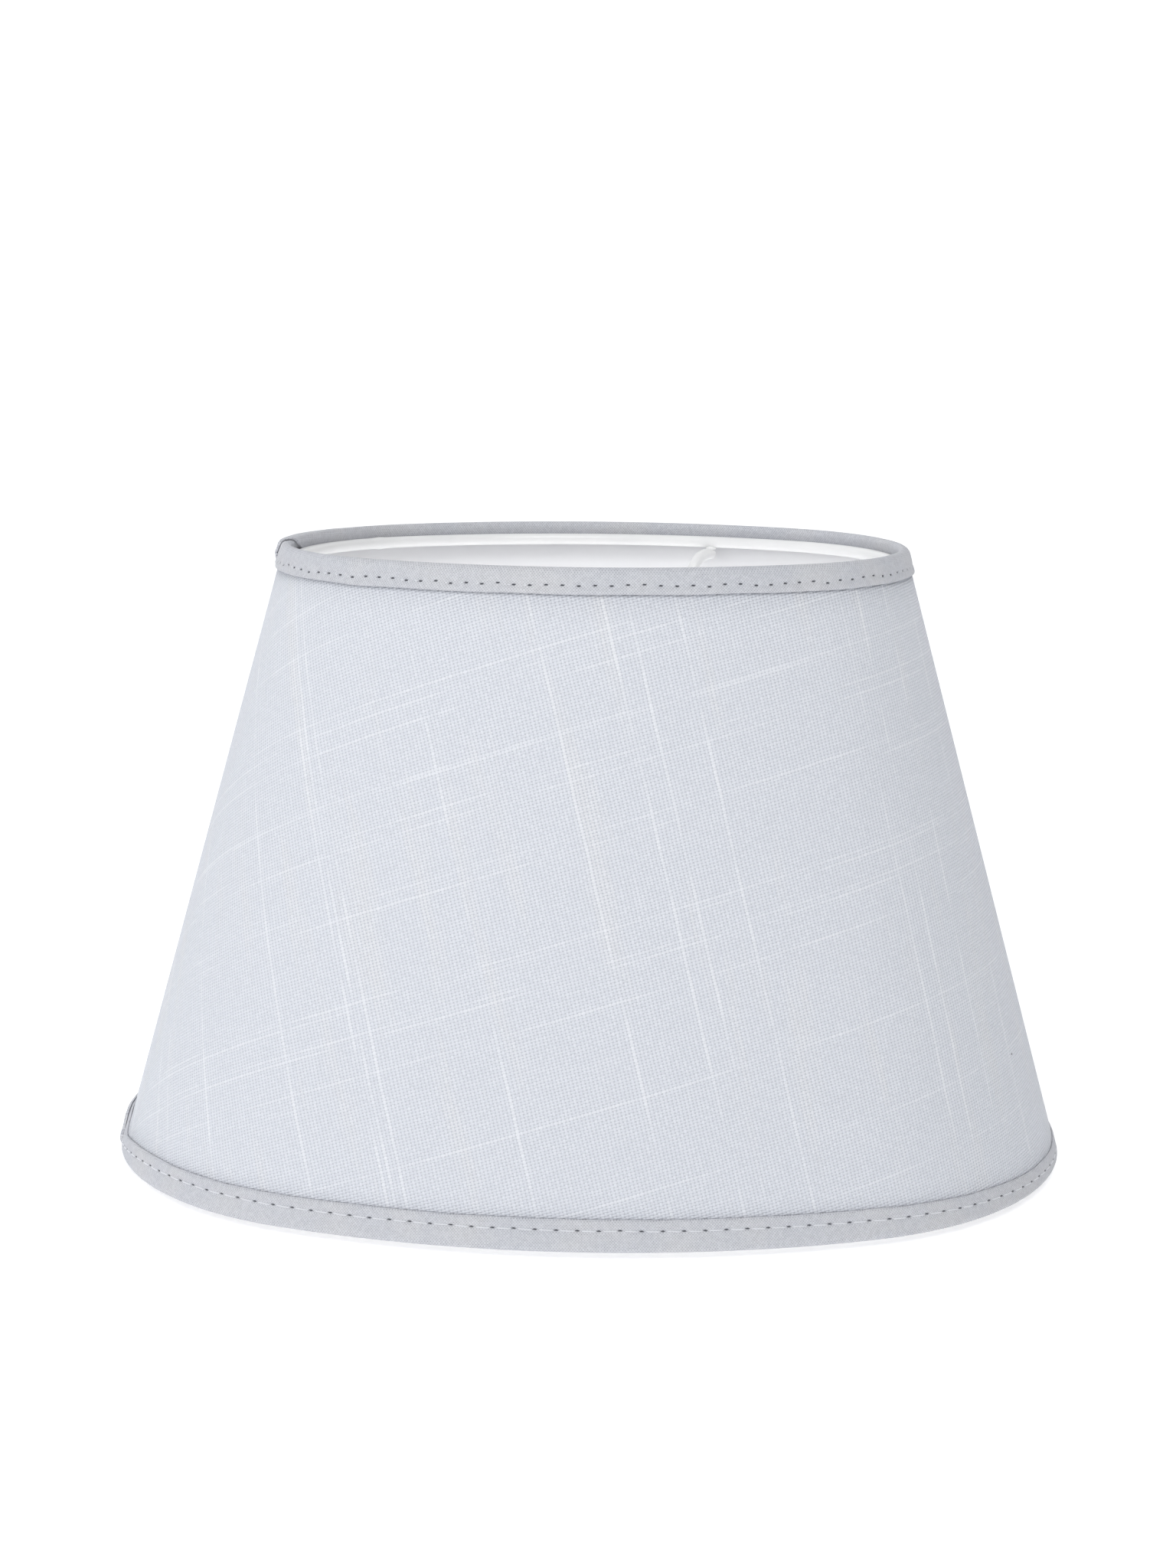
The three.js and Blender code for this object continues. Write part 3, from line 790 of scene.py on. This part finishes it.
def wire_arm(normal_angle):
    start = wall_point(normal_angle, -RING_INSET, TOP_RING_LEVEL)
    start.z -= 2 * WIRE_RADIUS + WIRE_GAP
    outwards = Vector((start.x, start.y, 0)).normalized()
    end = outwards * (HUB_OUTER_RADIUS + WIRE_GAP)
    end.z = AXIS_HEIGHT
    shelf = min(ARM_SHELF, (start - end).xy.length / 3)
    path = bent_path([start, start - outwards * shelf, end + outwards * shelf, end], shelf * 0.7, 10)
    sideways = outwards.cross(Vector((0, 0, 1)))
    tangents = [(after - before).normalized() for before, after in zip(path[:1] + path, path[1:] + path[-1:])]
    # Each end closes in a small dome.
    dome = [(1 - cos(k * pi / 8), sin(k * pi / 8)) for k in range(4)]
    rings = [(path[0] - tangents[0] * WIRE_RADIUS * (1 - d) * 0.5, tangents[0], r) for d, r in dome]
    rings += [(point, tangent, 1) for point, tangent in zip(path, tangents)]
    rings += [(path[-1] + tangents[-1] * WIRE_RADIUS * (1 - d) * 0.5, tangents[-1], r) for d, r in reversed(dome)]

    def place(i, j):
        centre, tangent, fullness = rings[i]
        turn = tau * j / WIRE_SIDES
        offset = sideways * cos(turn) + sideways.cross(tangent) * sin(turn)
        return centre + offset * WIRE_RADIUS * fullness

    shape = rolled(len(rings) - 1, WIRE_SIDES, place)
    for spot, size in ((start + Vector((0, 0, WIRE_RADIUS)), (1.5, 1.5, 0.8)), (end, (1.0, 2.1, 2.1))):
        bead = Matrix.Translation(spot) @ Matrix.Rotation(atan2(outwards.y, outwards.x), 4, "Z")
        bead = bead @ Matrix.Diagonal((*size, 1))
        bmesh.ops.create_icosphere(shape, subdivisions=3, radius=MM, matrix=bead)
    return outward_facing(shape)


for name, degrees in ARMS.items():
    arm = add_object("wire_" + name, wire_arm(radians(degrees)), coat_finish)
    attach(arm, "shade")
    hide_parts(name)


# ------------------------------------------------------------------ hub band
# A hoop of steel strip on edge, coated white with the arms. The two rivets pass through it.

HUB_INNER_RADIUS = 30.29 * MM
HUB_HEIGHT = 8 * MM


def turned(outline, rounding, axis="Z", at_height=AXIS_HEIGHT, steps=120):
    """Turns an outline of (radius, distance along the axis) points and rounds its corners."""
    shape = bmesh.new()
    points = [shape.verts.new((radius, 0, along)) for radius, along in outline]
    loop = list(zip(points, points[1:]))
    if outline[0][0] > 0:
        loop.append((points[-1], points[0]))
    edges = [shape.edges.new(pair) for pair in loop]
    bmesh.ops.spin(shape, geom=points + edges, cent=(0, 0, 0), axis=(0, 0, 1), angle=tau, steps=steps, use_merge=True)
    bmesh.ops.remove_doubles(shape, verts=shape.verts, dist=0.002 * MM)
    bmesh.ops.recalc_face_normals(shape, faces=shape.faces)
    corners = [edge for edge in shape.edges if edge.calc_face_angle(0) > radians(50)]
    bmesh.ops.bevel(
        shape, geom=corners, offset=rounding, segments=3, profile=0.5, affect="EDGES", clamp_overlap=True, material=-1
    )
    if axis == "Y":
        bmesh.ops.rotate(shape, cent=(0, 0, 0), matrix=Matrix.Rotation(-pi / 2, 3, "X"), verts=shape.verts)
    bmesh.ops.translate(shape, vec=(0, 0, at_height), verts=shape.verts)
    return outward_facing(shape)


hub_outline = [
    (HUB_INNER_RADIUS, -HUB_HEIGHT / 2),
    (HUB_OUTER_RADIUS, -HUB_HEIGHT / 2),
    (HUB_OUTER_RADIUS, HUB_HEIGHT / 2),
    (HUB_INNER_RADIUS, HUB_HEIGHT / 2),
]
hub = add_object("hub_hoop", turned(hub_outline, 0.35 * MM), coat_finish)
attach(hub, "shade")
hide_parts("hub_band")


# ------------------------------------------------------------------ fitter ring
# A pressed steel cup with a 42 mm hole for a lampholder's thread, coated white. Its rim hangs on the rivets, so
# it tilts inside the hub band.

FITTER_HOLE_RADIUS = 21 * MM
FITTER_RADIUS = 28.59 * MM
FITTER_RIM_INNER = 27.79 * MM
PLATE_UNDER = -4 * MM
PLATE_TOP = -3 * MM
RIM_TOP = 3.5 * MM

fitter_outline = [
    (FITTER_HOLE_RADIUS, PLATE_UNDER),
    (FITTER_RADIUS, PLATE_UNDER),
    (FITTER_RADIUS, RIM_TOP),
    (FITTER_RIM_INNER, RIM_TOP),
    (FITTER_RIM_INNER, PLATE_TOP),
    (FITTER_HOLE_RADIUS, PLATE_TOP),
]
fitter = add_object("fitter_cup", turned(fitter_outline, 0.3 * MM), coat_finish)
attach(fitter, "fitter")
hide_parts("fitter_ring")


# ------------------------------------------------------------------ rivets
# Two zinc-plated steel rivets on the tilting axis. Each has one domed head inside the fitter's rim and one
# outside the hub band.

RIVET_RADIUS = 1.5 * MM
RIVET_HEAD_RADIUS = 2.8 * MM
RIVET_HEAD_HEIGHT = 1.1 * MM
RIVET_INNER_END = 26.4 * MM


def bright_zinc():
    """Plating with fine turned marks and a little dullness in patches."""
    zinc = Finish("bright_zinc", (0.72, 0.73, 0.75), 0.28)
    place = zinc.object_place()
    dull = zinc.cloudy(place, 900.0, 3.0)
    zinc.coloured(zinc.mixed(zinc.between(dull, 0.35, 0.7), (0.76, 0.77, 0.79), (0.62, 0.63, 0.66)))
    zinc.feed(zinc.shader.inputs["Roughness"], zinc.between(dull, 0.3, 0.7, 0.22, 0.4))
    zinc.bumped(zinc.cloudy(place, 4000.0, 1.0), 0.01 * MM)
    zinc.set(Metallic=1.0)
    return zinc.material


zinc_finish = bright_zinc()
outer_face = HUB_OUTER_RADIUS + 0.15 * MM
rivet_outline = [
    (0, RIVET_INNER_END),
    (RIVET_HEAD_RADIUS, RIVET_INNER_END),
    (RIVET_HEAD_RADIUS, RIVET_INNER_END + RIVET_HEAD_HEIGHT),
    (RIVET_RADIUS, RIVET_INNER_END + RIVET_HEAD_HEIGHT),
    (RIVET_RADIUS, outer_face),
    (RIVET_HEAD_RADIUS, outer_face),
    (RIVET_HEAD_RADIUS, outer_face + RIVET_HEAD_HEIGHT),
    (0, outer_face + RIVET_HEAD_HEIGHT),
]
for node, half_turn in (("rivet_back", 0), ("rivet_front", pi)):
    shape = turned(rivet_outline, 0.5 * MM, axis="Y", steps=40)
    bmesh.ops.rotate(shape, cent=(0, 0, 0), matrix=Matrix.Rotation(half_turn, 3, "Z"), verts=shape.verts)
    rivet = add_object("zinc_" + node, shape, zinc_finish)
    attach(rivet, "fitter")
    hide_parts(node)


# ------------------------------------------------------------------ reducer ring
# A loose ring of white moulded plastic. Its flange lies on the fitter's plate and its spigot fills the hole, so
# the shade also suits a narrower lampholder; it lifts out.

REDUCER_HOLE_RADIUS = 14.4 * MM
REDUCER_FLANGE_RADIUS = 24.2 * MM
SPIGOT_RADIUS = 20.7 * MM
SPIGOT_END = PLATE_UNDER + 0.2 * MM
FLANGE_UNDER = PLATE_TOP + 0.1 * MM
FLANGE_TOP = FLANGE_UNDER + 1.6 * MM


def moulded_plastic():
    plastic = Finish("moulded_plastic", (0.90, 0.90, 0.885), 0.4)
    place = plastic.object_place()
    grain = plastic.cloudy(place, 1500.0, 2.0)
    flow = plastic.between(plastic.cloudy(place, 80.0, 3.0), 0.35, 0.7)
    plastic.coloured(plastic.mixed(flow, (0.905, 0.905, 0.89), (0.88, 0.88, 0.86)))
    plastic.feed(plastic.shader.inputs["Roughness"], plastic.between(grain, 0.3, 0.7, 0.34, 0.48))
    plastic.bumped(grain, 0.015 * MM)
    return plastic.material


reducer_outline = [
    (REDUCER_HOLE_RADIUS, SPIGOT_END),
    (SPIGOT_RADIUS, SPIGOT_END),
    (SPIGOT_RADIUS, FLANGE_UNDER),
    (REDUCER_FLANGE_RADIUS, FLANGE_UNDER),
    (REDUCER_FLANGE_RADIUS, FLANGE_TOP),
    (REDUCER_HOLE_RADIUS, FLANGE_TOP),
]
reducer = add_object("plastic_reducer", turned(reducer_outline, 0.3 * MM), moulded_plastic())
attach(reducer, "reducer")
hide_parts("reducer_ring")


# ------------------------------------------------------------------ studio
# A white sweep runs from the floor up behind the shade, and broad soft lights stand to the left and front. The
# camera is a little above the shade and slightly to its right.

CAMERA_PLACE = (0.02465, -0.6604, 0.2291)
CAMERA_HEADING = 0.0391
CAMERA_TILT = 0.1994
CAMERA_ROLL = 0.0078


def studio_sweep():
    """A flat floor whose back edge curves up into a wall."""
    half_width, front, back, curve = 4.0, -3.0, 2.2, 1.2
    floor_level = -1.8 * MM
    sheet = bmesh.new()
    edge = sheet.edges.new([sheet.verts.new((side * half_width, front, floor_level)) for side in (-1, 1)])
    made = bmesh.ops.extrude_edge_only(sheet, edges=[edge])["geom"]
    bmesh.ops.translate(sheet, vec=(0, back - front, 0), verts=[g for g in made if isinstance(g, bmesh.types.BMVert)])
    rim = [g for g in made if isinstance(g, bmesh.types.BMEdge) and all(v.co.y > back - MM for v in g.verts)]
    bmesh.ops.spin(sheet, geom=rim + list(rim[0].verts), cent=(0, back, curve + floor_level), axis=(1, 0, 0), angle=pi / 2, steps=16)
    rim = [e for e in sheet.edges if all(v.co.z > curve - 3 * MM for v in e.verts)]
    made = bmesh.ops.extrude_edge_only(sheet, edges=rim)["geom"]
    bmesh.ops.translate(sheet, vec=(0, 0, 2.0), verts=[g for g in made if isinstance(g, bmesh.types.BMVert)])
    return outward_facing(sheet)


def soft_light(name, place, size, watts):
    lamp = bpy.data.lights.new(name, "AREA")
    lamp.shape = "DISK"
    lamp.size = size
    lamp.energy = watts
    holder = bpy.data.objects.new(name, lamp)
    bpy.context.scene.collection.objects.link(holder)
    holder.location = place
    holder.visible_camera = False
    holder.rotation_euler = (Vector((0, 0, 0.08)) - Vector(place)).to_track_quat("-Z", "Y").to_euler()


paper = Finish("studio_white", (0.93, 0.93, 0.935), 0.9)
paper.set(Emission_Color=(1, 1, 1, 1), Emission_Strength=0.36)
add_object("sweep", studio_sweep(), paper.material)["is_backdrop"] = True
soft_light("key", (-1.5, -1.3, 0.9), 1.4, 3)
soft_light("front", (0.3, -1.5, 1.9), 1.0, 14.5)
soft_light("inside", (0.0, 0.0, 0.012), 0.11, 0.055)

# The room is white all round but for a dimmer side to the right.
world = bpy.data.worlds.new("studio")
world.use_nodes = True
room = world.node_tree
backdrop = room.nodes["Background"]
towards = room.nodes.new("ShaderNodeTexCoord")
facing = room.nodes.new("ShaderNodeVectorMath")
facing.operation = "DOT_PRODUCT"
facing.inputs[1].default_value = (0.98, -0.17, 0.1)
room.links.new(towards.outputs["Generated"], facing.inputs[0])
dimming = room.nodes.new("ShaderNodeMapRange")
for socket, value in zip(dimming.inputs, (0, 0.1, 0.9, 0.79, 0.19)):
    socket.default_value = value
room.links.new(facing.outputs["Value"], dimming.inputs[0])
seen = room.nodes.new("ShaderNodeLightPath")
strength = room.nodes.new("ShaderNodeMath")
strength.operation = "MAXIMUM"
room.links.new(dimming.outputs[0], strength.inputs[0])
room.links.new(seen.outputs["Is Camera Ray"], strength.inputs[1])
room.links.new(strength.outputs[0], backdrop.inputs["Strength"])
backdrop.inputs["Color"].default_value = (0.97, 0.985, 1, 1)
bpy.context.scene.world = world

camera = bpy.data.objects.new("camera", bpy.data.cameras.new("camera"))
bpy.context.scene.collection.objects.link(camera)
camera.data.lens = 59.45
camera.matrix_world = (
    Matrix.Translation(CAMERA_PLACE)
    @ Matrix.Rotation(CAMERA_HEADING, 4, "Z")
    @ Matrix.Rotation(pi / 2 - CAMERA_TILT, 4, "X")
    @ Matrix.Rotation(CAMERA_ROLL, 4, "Z")
)
bpy.context.scene.camera = camera
bpy.context.scene.view_settings.view_transform = "Standard"


# ------------------------------------------------------------------ sizes
# The CAD model's box and the finished model's box.

boxes = {"cad": cad_box, "visual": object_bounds()}
{name: [list(corner) for corner in box] for name, box in boxes.items()}
